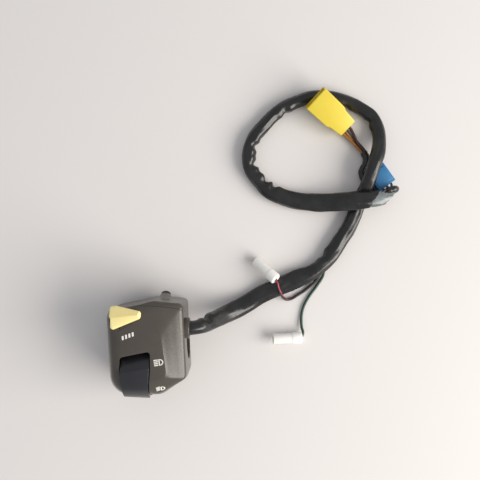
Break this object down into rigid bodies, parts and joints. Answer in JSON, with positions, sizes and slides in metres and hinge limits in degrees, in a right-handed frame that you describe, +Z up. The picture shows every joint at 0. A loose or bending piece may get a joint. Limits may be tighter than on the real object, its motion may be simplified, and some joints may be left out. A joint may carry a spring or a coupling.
{
  "type": "handlebar switch cluster",
  "caption": "Left-hand motorbike handlebar switch case with dimmer rocker, flash trigger, turn slider and horn button, on a sleeved harness with plug-in connectors.",
  "frame": {"origin": "on the axis of the handlebar bore, at the middle of the case", "axes": "X along the handlebar, +X toward the side where the harness leaves; +Z up from the surface that the part lies on; -Y toward the turn slider and horn"},
  "size_m": [0.1849, 0.1956, 0.0482],
  "materials": {
    "case_plastic": "moulded satin",
    "black_plastic": "moulded satin",
    "trigger_plastic": "moulded",
    "yellow_nylon": "moulded",
    "blue_nylon": "moulded",
    "white_nylon": "moulded",
    "pvc_sleeve": "glossy, wrinkled",
    "rubber": "matte",
    "brown_wire": "satin",
    "dark_wire": "satin",
    "green_wire": "satin",
    "brass": "stamped",
    "steel": "plain",
    "black_steel": "black zinc",
    "phenolic": "sheet"
  },
  "bodies": {
    "case": {"switch_half": "case_plastic", "clamp_half": "case_plastic", "case_screws": "black_steel", "cable_grommet": "rubber", "dimmer_pin": "steel", "dimmer_base": "phenolic", "dimmer_contacts": "brass", "pass_pin": "steel", "pass_spring": "steel", "pass_contacts": "brass", "turn_contacts": "brass", "horn_spring": "steel", "horn_contacts": "brass", "contact_board": "phenolic", "board_screws": "steel", "harness_sleeve": "pvc_sleeve", "yellow_wires": "brown_wire", "blue_wires": "dark_wire", "wire_tape": "pvc_sleeve", "black_lead": "dark_wire", "green_lead": "green_wire", "yellow_connector": "yellow_nylon", "yellow_terminals": "brass", "blue_connector": "blue_nylon", "blue_terminals": "brass", "bullet_sleeve_a": "white_nylon", "bullet_barrel_a": "brass", "bullet_sleeve_b": "white_nylon", "bullet_barrel_b": "brass"},
    "dimmer": {"dimmer_rocker": "black_plastic", "dimmer_wiper": "brass"},
    "trigger": {"pass_trigger": "trigger_plastic"},
    "turn_slider": {"turn_carriage": "black_plastic", "turn_spring": "steel"},
    "turn_button": {"turn_knob": "black_plastic"},
    "horn": {"horn_button": "black_plastic"}
  },
  "joints": [
    {"name": "dimmer_tip", "type": "hinge", "parent": "case", "child": "dimmer", "pos_m": [-0.0049, -0.0156, 0.014], "axis": [1, 0, 0], "range_deg": [0, 14]},
    {"name": "pass_pull", "type": "hinge", "parent": "case", "child": "trigger", "pos_m": [-0.004, 0.0174, 0.0283], "axis": [-0.1783, 0.2079, 0.9618], "range_deg": [0, 8], "stiffness_Nm_per_rad": 0.1, "springref_deg": -8.59, "deforming": ["pass_spring"]},
    {"name": "turn_slide", "type": "slide", "parent": "case", "child": "turn_slider", "axis": [1, 0, 0], "range_m": [-0.005, 0.005]},
    {"name": "turn_cancel", "type": "slide", "parent": "turn_slider", "child": "turn_button", "axis": [0, 1, 0], "range_m": [0, 0.002], "stiffness_N_per_m": 200, "springref_m": -0.002, "deforming": ["turn_spring"]},
    {"name": "horn_push", "type": "slide", "parent": "case", "child": "horn", "axis": [0, 1, 0], "range_m": [0, 0.002], "stiffness_N_per_m": 300, "springref_m": -0.002, "deforming": ["horn_spring"]}
  ]
}
